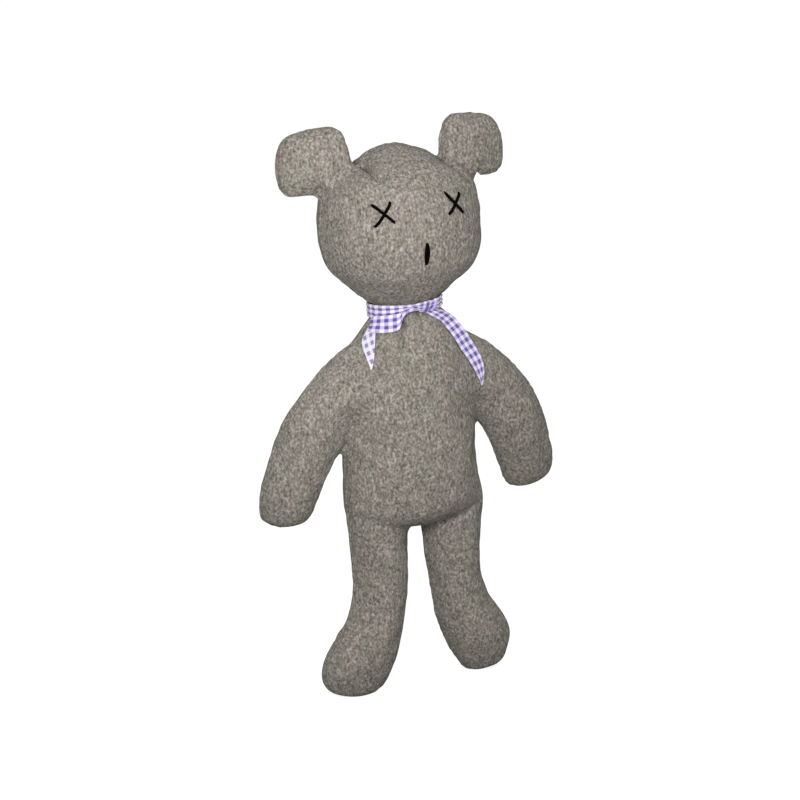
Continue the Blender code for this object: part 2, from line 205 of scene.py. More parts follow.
ARM = [(25, 196, 0.5, 72, 11.5, 11.5), (38.8, 180.8, 0, 58, 17.6, 13.6),
       (55.5, 161.8, 0.5, 43, 18.7, 14.1), (66.4, 143.2, 2.5, 28, 18.3, 14.2),
       (73.6, 123, 5.8, 20.5, 17.0, 13.3), (76.2, 112.5, 7.8, 18, 15.6, 12.0),
       (78.0, 106.4, 9.0, 14, 11.8, 9.0), (78.6, 103.4, 9.5, 10, 0.1, 0.1)]
THIGH = [(22.2, 113, 0, -2, 18.6, 17.4), (23.2, 104, 0, -3, 18.2, 17.8), (23.2, 95, 0, -4, 17.4, 17.6),
         (23.6, 84, 0, -3, 16.4, 16.8), (23.6, 71.5, 0, 1, 15.9, 15.9), (24.7, 55.5, 0, 8, 15.6, 15.0)]
FOOT = [(28.4, 40, 0, 14, 16.8, 15.2), (35.0, 26, 0, 17, 19.4, 15.8), (41.4, 14.5, 0, 18, 20.2, 14.8),
        (44.6, 5.6, 0, 15, 18.4, 12.4), (45.4, 0.4, 0, 8, 12.5, 8.6), (45.4, -1.0, 0, 0, 0.1, 0.1)]
LEG = {"right": THIGH + FOOT, "left": [
    (22.2, 113, 0, -2, 18.6, 17.4), (22.7, 104, 0, -3, 18.4, 17.8), (22.4, 95, 0, -4, 17.7, 17.6),
    (22.7, 84, 0, -3, 16.9, 16.8), (22.7, 71.5, 0, 1, 16.4, 15.9), (23.7, 55.5, 0, 8, 16.0, 15.0),
    (27.2, 40, 0, 15, 17.1, 15.2), (33.8, 26, 0, 20, 19.2, 15.8), (39.2, 15, 0, 24, 18.8, 14.8),
    (41.0, 6.5, 0, 24, 15.2, 12.4), (40.8, 1.2, 0, 12, 9.0, 8.6), (40.8, -0.6, 0, 0, 0.1, 0.1)]}
EAR = [(24.0, 302.7, 1.0, 90, 1.5, 2.5), (27.5, 305.9, 1.0, 90, 6.5, 5.0),
       (31, 309.0, 1.2, 90, 14.5, 6.8), (36, 308.0, 1.5, 90, 18.4, 7.8),
       (43, 307.2, 2.0, 90, 19.6, 8.6), (51, 307.3, 3.5, 90, 18.5, 9.0),
       (58.3, 306.3, 5.0, 90, 17.4, 8.5), (63.6, 304.8, 6.2, 90, 15.2, 7.2),
       (66.9, 303.2, 6.8, 90, 9.0, 5.0), (68.2, 302.6, 7.0, 90, 0.1, 0.1)]
YOKE = [(-64, 160, 1, 90, 8.0, 6.0), (-52, 168, 0, 88, 17.0, 14.0), (-35, 180, 0, 86, 20.0, 17.0),
        (0, 186, 0, 90, 20.0, 24.0), (35, 180, 0, 94, 20.0, 17.0), (52, 168, 0, 92, 17.0, 14.0),
        (64, 160, 1, 90, 8.0, 6.0)]
EAR_LIFT = {"left": math.radians(-0.6), "right": math.radians(0.3)}
ARM_SHIFT = {"left": 0.9, "right": -0.7}


def lifted(rows, turn):
    """Rows turned up about the first of them by an angle in radians, in the plane of the bear's front."""
    rows = np.array(rows, float)
    across, up = rows[:, 0] - rows[0, 0], rows[:, 1] - rows[0, 1]
    rows[:, 0] = rows[0, 0] + across * math.cos(turn) - up * math.sin(turn)
    rows[:, 1] = rows[0, 1] + across * math.sin(turn) + up * math.cos(turn)
    rows[:, 3] += math.degrees(turn)
    return [tuple(row) for row in rows]


def shifted(rows, outward):
    """Rows moved across the bear."""
    return [(row[0] + outward, *row[1:]) for row in rows]


arms = {side: shifted(ARM, ARM_SHIFT[side]) for side in ARM_SHIFT}
ears = {side: lifted(EAR, EAR_LIFT[side]) for side in EAR_LIFT}
forms = [HEAD, TORSO, YOKE, LEG["left"], mirrored(LEG["right"]), arms["left"], mirrored(arms["right"]),
         ears["left"], mirrored(ears["right"])]

# %% [markdown]
# ## One sewn skin
#
# The real cloth has no seam across the body, so the separate forms must become one skin. Voxel remesh
# wraps them all in one even net, and a smoothing pass rounds the corners where they met, as taut cloth
# does in an armpit.

# %% Join, remesh and smooth
VOXEL = 2.2 * MM
SMOOTH_STEPS = 5


def finished(piece):
    """Apply every modifier: the evaluated mesh takes the place of the plain one."""
    graph = bpy.context.evaluated_depsgraph_get()
    mesh = bpy.data.meshes.new_from_object(piece.evaluated_get(graph))
    piece.modifiers.clear()
    old, piece.data = piece.data, mesh
    bpy.data.meshes.remove(old)
    mesh.name = piece.name
    return piece


def read(mesh):
    """The points and the normals of a mesh, as two arrays."""
    points, normals = (np.zeros(3 * len(mesh.vertices), np.float32) for _ in range(2))
    mesh.vertices.foreach_get("co", points)
    mesh.vertex_normals.foreach_get("vector", normals)
    return points.reshape(-1, 3).astype(float), normals.reshape(-1, 3).astype(float)


def write(mesh, points):
    """Put an array of points back into a mesh."""
    mesh.vertices.foreach_set("co", points.astype(np.float32).ravel())
    mesh.update()


points, faces, count = [], [], 0
for rows in forms:
    grid = form(rows)
    points.append(grid.reshape(-1, 3))
    faces += grid_faces(*grid.shape[:2], first=count)
    count += len(points[-1])
skin = new_piece("skin", np.concatenate(points), faces)
net = skin.modifiers.new("one skin", "REMESH")
net.mode, net.voxel_size = "VOXEL", VOXEL
ease = skin.modifiers.new("taut cloth", "SMOOTH")
ease.factor, ease.iterations = 0.5, SMOOTH_STEPS
finished(skin)
print("skin:", len(skin.data.vertices), "points")

# %% [markdown]
# ## Let the stuffing push
#
# Cloth simulation with inside pressure gives the soft swells and slacks of a stuffed toy. The seam, where the
# cloth faces sideways, holds still, as the real one does. The cloth is given a very little spare width first,
# and no point may move more than a few millimetres, so that the outline stays true.

# %% Stuff the skin by simulation
PRESSURE, SPARE, MOST = 4.0, -0.012, 2.5 * MM
STEPS = 20


def stuff(piece, held):
    """Run the Cloth modifier with pressure from frame 1 to STEPS, with the held points pinned, then keep
    the result. A move longer than MOST is shortened to it."""
    before, _ = read(piece.data)
    pins = piece.vertex_groups.new(name="held")
    pins.add(np.nonzero(held)[0].tolist(), 1.0, "REPLACE")
    cloth = piece.modifiers.new("stuffing", "CLOTH")
    settings = cloth.settings
    settings.use_pressure, settings.uniform_pressure_force = True, PRESSURE
    settings.effector_weights.gravity = 0.0
    settings.vertex_group_mass, settings.pin_stiffness = "held", 1.0
    settings.shrink_min, settings.quality = SPARE, 5
    cloth.collision_settings.use_collision = False
    cloth.point_cache.frame_start, cloth.point_cache.frame_end = 1, STEPS
    for step in range(1, STEPS + 1):
        bpy.context.scene.frame_set(step)
    finished(piece)
    bpy.context.scene.frame_set(1)
    piece.vertex_groups.clear()
    after, _ = read(piece.data)
    move = after - before
    length = np.linalg.norm(move, axis=1, keepdims=True)
    move *= np.minimum(1.0, MOST / np.maximum(length, 1e-9))
    write(piece.data, before + move)
    print("stuffing moved the cloth", round(float(length.mean() / MM), 2), "mm, at most",
          round(float(length.max() / MM), 2))


places, normals = read(skin.data)
stuff(skin, np.abs(normals[:, 1]) < 0.25)
ease = skin.modifiers.new("settle", "SMOOTH")
ease.factor, ease.iterations = 0.5, 3
finished(skin)

# %% [markdown]
# ## Seams, puckers and gathers
#
# A subdivided skin is fine enough to hold a real seam: a narrow groove along the edge where front and
# back meet, with small puckers beside it, since thread draws the cloth in. The ribbon ties the neck in, so
# the cloth gathers in folds above and below it and dips under it, which also leaves the head room to turn.
# Each effect is a sum of simple waves or bell curves of the points' own places, so the whole skin is worked
# out at once.

# %% Fine skin
fine = skin.modifiers.new("fine", "SUBSURF")
fine.levels = fine.render_levels = 2
finished(skin)
places, normals = read(skin.data)
print("fine skin:", len(places), "points")


def ease_in(value, start, end):
    """0 before start, 1 after end, and a smooth S between: 3t squared less 2t cubed."""
    t = np.clip((value - start) / (end - start), 0.0, 1.0)
    return t * t * (3 - 2 * t)


def bell(distance, width):
    """1 at no distance, and dying away as exp(-(distance / width) squared)."""
    return np.exp(-((distance / width) ** 2))


def ripple(where, size, seed, waves=14):
    """An uneven surface from -1 to about 1: the mean of sine waves in seeded directions, each about size
    long."""
    draw = np.random.default_rng(seed)
    direction = draw.normal(size=(waves, 3))
    direction /= np.linalg.norm(direction, axis=1, keepdims=True)
    number = 2 * math.pi / (size * draw.uniform(0.7, 1.4, waves))
    phase = draw.uniform(0, 2 * math.pi, waves)
    return np.sin(where @ (direction * number[:, None]).T + phase).mean(axis=1) * math.sqrt(waves) * 0.7


def seam_depth(where):
    """The y where front and back meet: the arms and ears sweep back, so it follows their rows outward."""
    x, z = np.abs(where[:, 0]) / MM, where[:, 2] / MM
    arm_rows, ear_rows = np.array(ARM)[::-1], np.array(EAR)
    arm = np.interp(z, arm_rows[:, 1], arm_rows[:, 2])
    ear = np.interp(x, ear_rows[:, 0], ear_rows[:, 2])
    y = arm * ease_in(x, 41, 60) * (z < 230) + ear * ease_in(z, 284, 296)
    return y * MM


# %% Work the seam, the gathers and the lumps
GROOVE, GROOVE_WIDTH = 0.75 * MM, 0.8 * MM
TIE_HEIGHT = 222.5 * MM


def seams(where, facing):
    """Groove, ridges and puckers beside the seam, by the distance across it, where the cloth faces
    sideways."""
    across = np.abs(where[:, 1] - seam_depth(where))
    edge = 1.0 - ease_in(np.abs(facing[:, 1]), 0.45, 0.85)
    groove = -GROOVE * bell(across, GROOVE_WIDTH)
    ridge = 0.28 * MM * bell(across - 2.0 * MM, 1.1 * MM)
    pucker = 0.3 * MM * bell(across, 3.5 * MM) * ripple(where * (1, 0.25, 1), 5.0 * MM, 3)
    return (groove + ridge + pucker) * edge


def gathers(where):
    """Folds round the tied neck: waves of the angle round it, dying away above and below the tie."""
    angle = np.arctan2(where[:, 0], -where[:, 1])
    below = where[:, 2] - TIE_HEIGHT
    fade = np.where(below < 0, bell(below, 15 * MM), bell(below, 8 * MM))
    wave = 0.6 * np.cos(17 * angle + 0.8 * np.sin(3 * angle)) + 0.5 * np.cos(9 * angle + 1.7)
    tuck = -1.9 * bell(angle + 0.72, 0.13) * (below < 0) - 0.8 * bell(angle - 0.15, 0.2) * (below < 0)
    pinch = -2.9 * MM * bell(below - 0.8 * MM, 4.2 * MM)
    return (wave * 0.55 + tuck) * MM * fade + pinch


def lumps(where):
    """Stuffing is never even: broad swells, with smaller ones over them."""
    return 0.55 * MM * ripple(where, 34 * MM, 1) + 0.16 * MM * ripple(where, 11 * MM, 2)


up = places[:, 2]
near_neck = ease_in(up, 0.190, 0.205) * (1 - ease_in(up, 0.236, 0.248))
height = seams(places, normals) + lumps(places) + gathers(places) * near_neck
places = places + normals * height[:, None]

# %% [markdown]
# ## Ear creases and flat soles
#
# Each ear is sewn on along a slanting line, and the cloth dips in at both ends of it. A soft crease also
# runs down the chest from the knot. The bear stands, so its weight flattens the soles: everything below
# the floor is brought up to it.

# %% Crease the ears and chest, flatten the soles
EAR_CREASES = [  # where each starts and ends, how deep and how wide
    ((24.8, 304.6), (36.5, 291.5), 4.2, 1.7), ((50.0, 288.0), (50.6, 294.5), 4.0, 1.9),
    ((-23.2, 306.0), (-19.5, 295.5), 4.2, 1.7), ((-47.5, 291.5), (-45.0, 297.0), 3.6, 1.8),
    ((25.3, 304.8), (25.8, 303.2), 2.6, 4.2), ((-23.4, 306.0), (-23.2, 304.0), 2.8, 4.4),
]


def crease(where, start, end, depth, width):
    """How deep the cloth dips along a line from start to end, seen from the front: deepest at the start."""
    line = (np.array(end) - start) * MM
    from_start = where[:, ::2] - np.array(start) * MM
    share = np.clip(from_start @ line / (line @ line), 0.0, 1.0)
    distance = np.linalg.norm(from_start - share[:, None] * line, axis=1)
    return -depth * MM * bell(distance, width * MM) * (1.0 - 0.75 * share)


CHEST_CREASE = ((-7.5, 215.5), (-15.5, 200.0), 3.2, 1.5)
dip = sum(crease(places, *line) for line in EAR_CREASES)
dip = dip + crease(places, *CHEST_CREASE) * (normals[:, 1] < 0)
places = places + normals * dip[:, None]
SOLE, SOLE_RISE = 3.0 * MM, 0.35
up = places[:, 2]
under = np.clip((SOLE - up) / (2 * SOLE), 0.0, 1.0)
places[:, 2] = np.where(up < SOLE, np.maximum(up + SOLE * under**2 * SOLE_RISE, 0.0), up)
write(skin.data, places)
print("skin's box in mm:", (places.min(0) / MM).round(1), (places.max(0) / MM).round(1))

# %% [markdown]
# ## Cut the skin into moving pieces
#
# The toy moves at the neck, shoulders, hips and ears, so its one skin is parted there. A cut is made on a
# plane just inside the joint's own line, where the cloth does not yet move. Both sides of a cut share the
# same points, and a face closes each cut.

# %% Planes along the joints
NECK_CUT = 0.222
SIDES = (("left", 1.0), ("right", -1.0))


def joint_plane(name, inside):
    """A point a little inside the joint's line, and the unit normal that points out along the limb."""
    joint = joints[name]
    place, axis = np.array(joint["pos_m"]), np.array(joint["axis"])
    outward = np.cross(axis, (0.0, 1.0, 0.0))
    outward *= np.sign(outward @ (place[0], 0.0, 0.02)) / np.linalg.norm(outward)
    return place - outward * inside, outward


crotch = places[(np.abs(places[:, 0]) < 1.5 * MM) & (places[:, 2] < 0.12)][:, 2].min() - 0.6 * MM
neck_plane = (np.array((0.0, 0.0, NECK_CUT)), np.array((0.0, 0.0, 1.0)))
planes = {}
for side, sign in SIDES:
    planes["ear_" + side] = joint_plane(f"ear_{side}_fold", 3.0 * MM)
    planes["arm_" + side] = joint_plane(f"arm_{side}_swing", 1.0 * MM)
    hip = np.array((sign * 0.49, 0.0, -0.872))
    planes["leg_" + side] = (np.array((0.0, 0.0, crotch)), hip / np.linalg.norm(hip))
print("crotch at", round(crotch / MM, 1), "mm")


def cut_piece(name, keeps, sign=0.0):
    """A copy of the skin that keeps what lies beyond each plane, with every cut closed by one face."""
    body = bmesh.new()
    body.from_mesh(skin.data)
    for place, normal in keeps:
        everything = body.verts[:] + body.edges[:] + body.faces[:]
        bmesh.ops.bisect_plane(body, geom=everything, dist=1e-7, plane_co=place, plane_no=normal,
                               clear_inner=True)
    if sign:
        other = [v for v in body.verts if v.co.x * sign < 0]
        bmesh.ops.delete(body, geom=other, context="VERTS")
    rim = [edge for edge in body.edges if edge.is_boundary]
    lids = bmesh.ops.holes_fill(body, edges=rim, sides=0)["faces"]
    for face in body.faces:
        face.smooth = True
    for face in lids:
        face.smooth = False
    mesh = bpy.data.meshes.new(name)
    body.to_mesh(mesh)
    body.free()
    piece = bpy.data.objects.new(name, mesh)
    bpy.context.scene.collection.objects.link(piece)
    spots, _ = read(mesh)
    rest = mesh.attributes.new("rest_place", "FLOAT_VECTOR", "POINT")
    rest.data.foreach_set("vector", spots.astype(np.float32).ravel())
    print(name, len(mesh.polygons), "faces,", len(lids), "cuts")
    return piece


def beyond(name):
    """Keep the limb's side of its plane."""
    return planes[name]


def before(name):
    """Keep the body's side of a limb's plane."""
    place, normal = planes[name]
    return place, -normal


above, below = neck_plane, (neck_plane[0], -neck_plane[1])
cloth = {"head": cut_piece("head_cloth", [above, before("ear_left"), before("ear_right")])}
cloth["torso"] = cut_piece("torso_cloth", [below, before("arm_left"), before("arm_right"),
                                           before("leg_left"), before("leg_right")])
for side, sign in SIDES:
    for limb, keeps in (("ear", [above]), ("arm", [below]), ("leg", [below, before("arm_" + side)])):
        name = f"{limb}_{side}"
        cloth[name] = cut_piece(name + "_cloth", [*keeps, beyond(name)], sign)

# %% [markdown]
# ## Stitched eyes and nose
#
# Each eye is two crossed stitches of thick black thread, and the nose is a bundle of upright ones. Real
# thread is twisted plies, so each stitch is made of strands that wind round its path. The path lies on the
# face: its depth is read from the nearest points of the cloth, and its ends dive through it.

# %% Strands of thread
THREAD_STEPS = 26
face_front = places[(places[:, 1] < -0.004) & (places[:, 2] > 0.24)]


def on_face(across_up):
    """The y of the face's cloth at each (across, up), from the nearest of its points seen from the front."""
    gap = ((face_front[None, :, ::2] - across_up[:, None, :]) ** 2).sum(axis=2)
    return face_front[gap.argmin(axis=1), 1]


def tube(path, radius, sides=8):
    """A round tube along a path: at each point a circle square to the path, of that point's radius."""
    along = np.gradient(path, axis=0)
    along /= np.linalg.norm(along, axis=1, keepdims=True)
    side = np.cross(along, (0.0, 1.0, 0.0))
    side /= np.linalg.norm(side, axis=1, keepdims=True)
    out = np.cross(side, along)
    angle = np.linspace(0, 2 * math.pi, sides, endpoint=False)
    circle = side[:, None] * np.cos(angle)[:, None] + out[:, None] * np.sin(angle)[:, None]
    return path[:, None] + circle * radius[:, None, None]


def stitch(name, start, end, strands, strand_radius, spread, turns, rise):
    """Strands between two (across, up) ends. Their middle line follows the cloth and stands out by rise,
    its ends dive in as the tenth power of the distance from the middle, and the strands wind round it by
    turns. With no turns, the strands lie side by side and fan out in the middle."""
    t = np.linspace(0.0, 1.0, THREAD_STEPS)
    flat = (np.array(start) + (np.array(end) - start) * t[:, None]) * MM
    edge = np.abs(2 * t - 1)
    out = strand_radius * 0.8 + rise * (1 - edge**4) - 2.6 * edge**10
    core = np.stack([flat[:, 0], on_face(flat) - out * MM, flat[:, 1]], axis=1)
    direction = np.array([end[0] - start[0], end[1] - start[1]], float)
    direction /= np.linalg.norm(direction)
    side, inward = np.array([-direction[1], 0.0, direction[0]]), np.array((0, 1.0, 0))
    points, faces, count = [], [], 0
    for strand in range(strands):
        angle = 2 * math.pi * (strand / strands + turns * t) if turns else np.zeros_like(t)
        place = (strand + 0.5) / strands * 2 - 1
        if turns:
            shift = spread * (np.cos(angle)[:, None] * side - np.sin(angle)[:, None] * inward)
        else:
            fan = place * (1 - edge**2.2) * spread
            lift = 0.4 * strand_radius * (1 - place**2) * (1 - edge**2)
            shift = fan[:, None] * side - lift[:, None] * inward
        radius = np.full_like(t, strand_radius * MM)
        radius[[0, -1]] *= 0.05
        grid = tube(core + shift * MM, radius)
        points.append(grid.reshape(-1, 3))
        faces += grid_faces(*grid.shape[:2], first=count)
        count += grid.shape[0] * grid.shape[1]
    piece = new_piece(name, np.concatenate(points), faces)
    piece.data.shade_smooth()
    round_it = piece.modifiers.new("round thread", "SUBSURF")
    round_it.levels = round_it.render_levels = 1
    return piece


# %% Sew the face
EYES = {
    "left": (((13.6, 289.2), (26.0, 275.2)), ((25.2, 287.2), (14.8, 276.2))),
    "right": (((-27.5, 286.4), (-16.1, 275.2)), ((-17.1, 287.3), (-27.1, 273.6))),
}
NOSE = ((0.2, 263.8), (-0.5, 250.4))
thread_pieces = []
for side, (under_ends, over_ends) in EYES.items():
    for layer, ends, rise in (("under", under_ends, 0.0), ("over", over_ends, 0.85)):
        piece = stitch(f"eye_{side}_{layer}_thread", *ends, 3, 0.56, 0.42, 2.2, rise)
        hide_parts(f"eye_{side}_{layer}_stitch")
        thread_pieces.append(piece)
piece = stitch("nose_thread", *NOSE, 6, 0.55, 1.3, 0, 0.25)
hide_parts("nose_stitch")
thread_pieces.append(piece)

# %% [markdown]
# ## The gingham ribbon
#
# The ribbon is a flat woven band, 10 mm wide, so each stretch of it is a sheet ruled between its two
# selvedges. Both selvedges are smooth curves, and the rows across join them. Where the ribbon is pulled
# tight it pleats: the sheet waves in depth as its edges come together, which takes up some of its spare
# width. Each sheet keeps its own length and width as its UV map, so the checks follow the cloth.

# %% A ribbon between two selvedges
RIBBON_WIDTH, RIBBON_THICK = 10.0, 0.28
ACROSS_STEPS = 21


def ribbon_sheet(name, rows, steps, pleats=0.0, flat=None):
    """A ribbon sheet. A row holds a point of the lower selvedge, one of the upper, and how deep the pleats
    are, in millimetres. Rows across are straight lines, moved outward by a wave of the share across."""
    rows = through(rows, steps)
    share = np.linspace(0.0, 1.0, ACROSS_STEPS)
    lower, upper, deep = rows[:, 0:3], rows[:, 3:6], rows[:, 6]
    grid = lower[:, None] + (upper - lower)[:, None] * share[:, None]
    centre = (lower + upper) / 2
    outward = np.cross(np.gradient(centre, axis=0), upper - lower)
    outward /= np.linalg.norm(outward, axis=1, keepdims=True)
    grid = grid + outward[:, None] * np.outer(deep, np.cos(2 * math.pi * pleats * share))[:, :, None]
    length = np.concatenate([[0], np.cumsum(np.linalg.norm(np.diff(centre, axis=0), axis=1))])
    if flat is None:
        place = np.stack(np.broadcast_arrays(length[:, None], share * RIBBON_WIDTH), axis=2)
    else:
        place = flat(grid)
    piece = new_piece(name, grid * MM, grid_faces(steps, ACROSS_STEPS, closed=False))
    layer = piece.data.uv_layers.new(name="ribbon")
    corner = np.zeros(len(piece.data.loops), np.int32)
    piece.data.loops.foreach_get("vertex_index", corner)
    layer.data.foreach_set("uv", (place.reshape(-1, 2)[corner] / 10).astype(np.float32).ravel())
    piece.data.shade_smooth()
    print(name, round(sheet_area(grid)), "square mm,", round(float(length[-1]), 1), "mm long")
    return piece


def sheet_area(grid):
    """The area of a grid of points in square millimetres, from the cross products of its cells' sides."""
    a, b = np.diff(grid, axis=0)[:, :-1], np.diff(grid, axis=1)[:-1]
    return float(np.linalg.norm(np.cross(a, b), axis=2).sum())


def lay_on(piece, clearance=0.5):
    """Push the sheet out of the cloth below it, smooth it, push it out again, and give it its thickness."""
    for push in ("first", "last"):
        wrap = piece.modifiers.new(push + " push", "SHRINKWRAP")
        wrap.target, wrap.wrap_method, wrap.wrap_mode = skin, "NEAREST_SURFACEPOINT", "OUTSIDE"
        wrap.offset = clearance * MM
        if push == "first":
            settle = piece.modifiers.new("settle", "SMOOTH")
            settle.factor, settle.iterations = 0.5, 2
    finished(piece)
    wall = piece.modifiers.new("woven thickness", "SOLIDIFY")
    wall.thickness, wall.offset = RIBBON_THICK * MM, 0.0
    return finished(piece)


# %% Tie the collar
NECK_MIDDLE = (0.8, 0.3)
NECK_WIDE, NECK_DEEP = 21.6, 17.9
COLLAR = [  # degrees round from the front to the bear's left, bottom, top, pleat depth
    (-180, 217.4, 226.0, 0.2), (-150, 217.4, 226.0, 0.2), (-120, 217.8, 225.9, 0.2),
    (-97, 218.2, 225.8, 0.2), (-71, 218.4, 226.0, 0.3), (-50, 219.0, 226.2, 0.3),
    (-34, 220.0, 226.1, 0.4), (-22, 221.4, 226.0, 0.5), (-12, 222.8, 225.9, 0.6),
    (-2, 222.8, 226.1, 0.6), (12, 221.4, 226.6, 0.5), (31, 221.2, 226.7, 0.4), (46, 221.4, 226.9, 0.35),
    (62, 221.8, 227.4, 0.3), (82, 221.0, 227.2, 0.3), (110, 219.0, 226.6, 0.25),
    (140, 217.8, 226.2, 0.2), (180, 217.4, 226.0, 0.2),
]


def round_neck(table, spread=0.0, flare=0.0):
    """Selvedge points on an ellipse round the neck, from rows of angle, bottom, top and pleat depth. Spread
    makes both selvedges' ellipses larger, and flare the lower one's."""
    table = np.array(table, float)
    angle = np.radians(table[:, 0])
    columns = []
    for grown, height in ((spread + flare, table[:, 1]), (spread, table[:, 2])):
        x = NECK_MIDDLE[0] + (NECK_WIDE + grown) * np.sin(angle)
        y = NECK_MIDDLE[1] - (NECK_DEEP + grown) * np.cos(angle)
        columns += [x, y, height]
    return np.stack([*columns, table[:, 3]], axis=1)


collar = ribbon_sheet("ribbon_collar_cloth", round_neck(COLLAR), 240, pleats=2.5)
lay_on(collar)

# %% Fold and knot
FOLD = [
    (-77, 210.2, 219.2, 0.1), (-67, 210.6, 220.2, 0.1), (-49, 211.3, 221.0, 0.12),
    (-34, 212.2, 221.5, 0.15), (-28, 213.8, 222.0, 0.25), (-25, 216.6, 222.3, 0.4),
    (-23, 219.4, 222.8, 0.5), (-19, 221.2, 223.6, 0.6), (-12, 222.7, 225.0, 0.6),
    (-2, 222.8, 225.2, 0.6),
]
fold = ribbon_sheet("ribbon_fold_cloth", round_neck(FOLD, 1.5, 1.3), 90, pleats=1.5)
lay_on(fold, 1.4)

KNOT_CENTRE, KNOT_ENDS = (-18.9, 224.1), (2.4, 11.4)
knot_rows = []
for angle in range(0, 376, 15):
    turn = math.radians(angle)
    y = KNOT_CENTRE[0] - 2.2 * math.cos(turn)
    z = KNOT_CENTRE[1] + (2.7 + 0.3 * math.cos(3 * turn)) * math.sin(turn)
    lean = 1.4 * math.sin(turn)
    knot_rows.append((KNOT_ENDS[0] + lean, y, z, KNOT_ENDS[1] + lean, y + 2.0, z + 0.3, 0.4))
knot = ribbon_sheet("ribbon_knot_cloth", knot_rows, 60, pleats=1.5)
lay_on(knot, 0.3)

# %% The two tails
LONG_TAIL = [  # a point of the lower selvedge, one of the upper, pleat depth
    (5.1, -17.3, 220.9, 12.7, -17.6, 222.0, 0.4), (10.9, -16.9, 216.8, 18.8, -14.8, 219.2, 0.3),
    (16.3, -15.7, 212.2, 25.0, -11.3, 214.8, 0.1), (19.9, -16.7, 207.5, 28.9, -12.0, 209.5, 0.1),
    (22.6, -17.3, 202.9, 31.6, -13.2, 205.4, 0.1), (26.3, -17.2, 196.3, 35.4, -13.2, 198.6, 0.1),
    (29.6, -18.0, 190.9, 38.5, -13.9, 192.7, 0.1), (32.7, -18.8, 184.8, 40.2, -15.6, 186.2, 0.1),
    (36.2, -18.2, 177.5, 39.7, -17.0, 179.5, 0.05), (37.8, -17.7, 173.6, 38.3, -17.5, 173.8, 0.0),
]
long_tail = ribbon_sheet("ribbon_tail_left_cloth", LONG_TAIL, 90, pleats=1.0)
lay_on(long_tail, 0.6)

SHORT_TAIL = [
    (-20.8, -4.4, 217.0, -18.6, -7.4, 216.2, 0.0), (-23.2, -4.0, 214.4, -20.4, -8.0, 213.0, 0.0),
    (-26.0, -4.2, 210.6, -22.9, -11.6, 210.2, 0.0), (-28.5, -5.2, 206.8, -23.9, -13.4, 207.3, 0.0),
    (-29.3, -8.6, 202.8, -25.0, -14.9, 203.9, 0.0), (-29.2, -12.0, 199.0, -26.0, -15.8, 199.7, 0.0),
    (-28.9, -14.6, 195.4, -26.8, -15.8, 195.6, 0.0), (-28.6, -16.3, 192.4, -28.3, -16.4, 192.6, 0.0),
]
SELVEDGE_CORNER, SELVEDGE_TIP = np.array(SHORT_TAIL[3][:3]), np.array(SHORT_TAIL[7][:3])


def turned_over(grid):
    """Length and width on the short tail, which is nearly flat: a point's distance from the corner along
    the straight selvedge, and square to it in the tail's own plane."""
    along = (SELVEDGE_TIP - SELVEDGE_CORNER) / np.linalg.norm(SELVEDGE_TIP - SELVEDGE_CORNER)
    across = np.array(SHORT_TAIL[3][3:6]) - SELVEDGE_CORNER
    across = across - along * (across @ along)
    across /= np.linalg.norm(across)
    from_corner = grid - SELVEDGE_CORNER
    return np.stack([from_corner @ along + 2.0, from_corner @ across + 0.7], axis=2)


short_tail = ribbon_sheet("ribbon_tail_right_cloth", SHORT_TAIL, 60, flat=turned_over)
lay_on(short_tail, 0.5)

# %% [markdown]
# ## Tweed
#
# Tweed is spun from wool of several shades, so up close it is a crowd of light and dark flecks on a
# middle grey, with a faint twill. Solid noise stretched upward gives flecks that follow no pattern. It reads
# the cloth's own resting place, kept as an attribute, so the flecks stay put when a limb bends.

# %% Shader helpers
def shader_group(name, inputs, outputs):
    """An empty node group with named sockets, and its input and output nodes."""
    group = bpy.data.node_groups.new(name, "ShaderNodeTree")
    for socket, kind, default in inputs:
        made = group.interface.new_socket(socket, in_out="INPUT", socket_type="NodeSocket" + kind)
        if default is not None:
            made.default_value = default
    for socket, kind in outputs:
        group.interface.new_socket(socket, in_out="OUTPUT", socket_type="NodeSocket" + kind)
    return group, group.nodes.new("NodeGroupInput"), group.nodes.new("NodeGroupOutput")


def maths(tree, operation, *values):
    """A Math node; a value is a number or a socket to link."""
    node = tree.nodes.new("ShaderNodeMath")
    node.operation = operation
    for socket, value in zip(node.inputs, values):
        if isinstance(value, bpy.types.NodeSocket):
            tree.links.new(value, socket)
        else:
            socket.default_value = value
    return node.outputs[0]


def noise(tree, vector, scale, detail, roughness=0.5):
    """A Noise texture's value at a place."""
    node = tree.nodes.new("ShaderNodeTexNoise")
    node.inputs["Detail"].default_value, node.inputs["Roughness"].default_value = detail, roughness
    for name, value in (("Vector", vector), ("Scale", scale)):
        if isinstance(value, bpy.types.NodeSocket):
            tree.links.new(value, node.inputs[name])
        else:
            node.inputs[name].default_value = value
    return node.outputs["Fac"]


def stretched(tree, vector, scale):
    """A place with each of its axes scaled."""
    node = tree.nodes.new("ShaderNodeVectorMath")
    node.operation = "MULTIPLY"
    tree.links.new(vector, node.inputs[0])
    node.inputs[1].default_value = scale
    return node.outputs[0]


def ramp(tree, factor, stops):
    """A Color Ramp through stops of place and colour."""
    node = tree.nodes.new("ShaderNodeValToRGB")
    while len(node.color_ramp.elements) < len(stops):
        node.color_ramp.elements.new(0.5)
    for element, (place, colour) in zip(node.color_ramp.elements, stops):
        element.position, element.color = place, (*colour, 1.0)
    tree.links.new(factor, node.inputs["Fac"])
    return node.outputs["Color"]


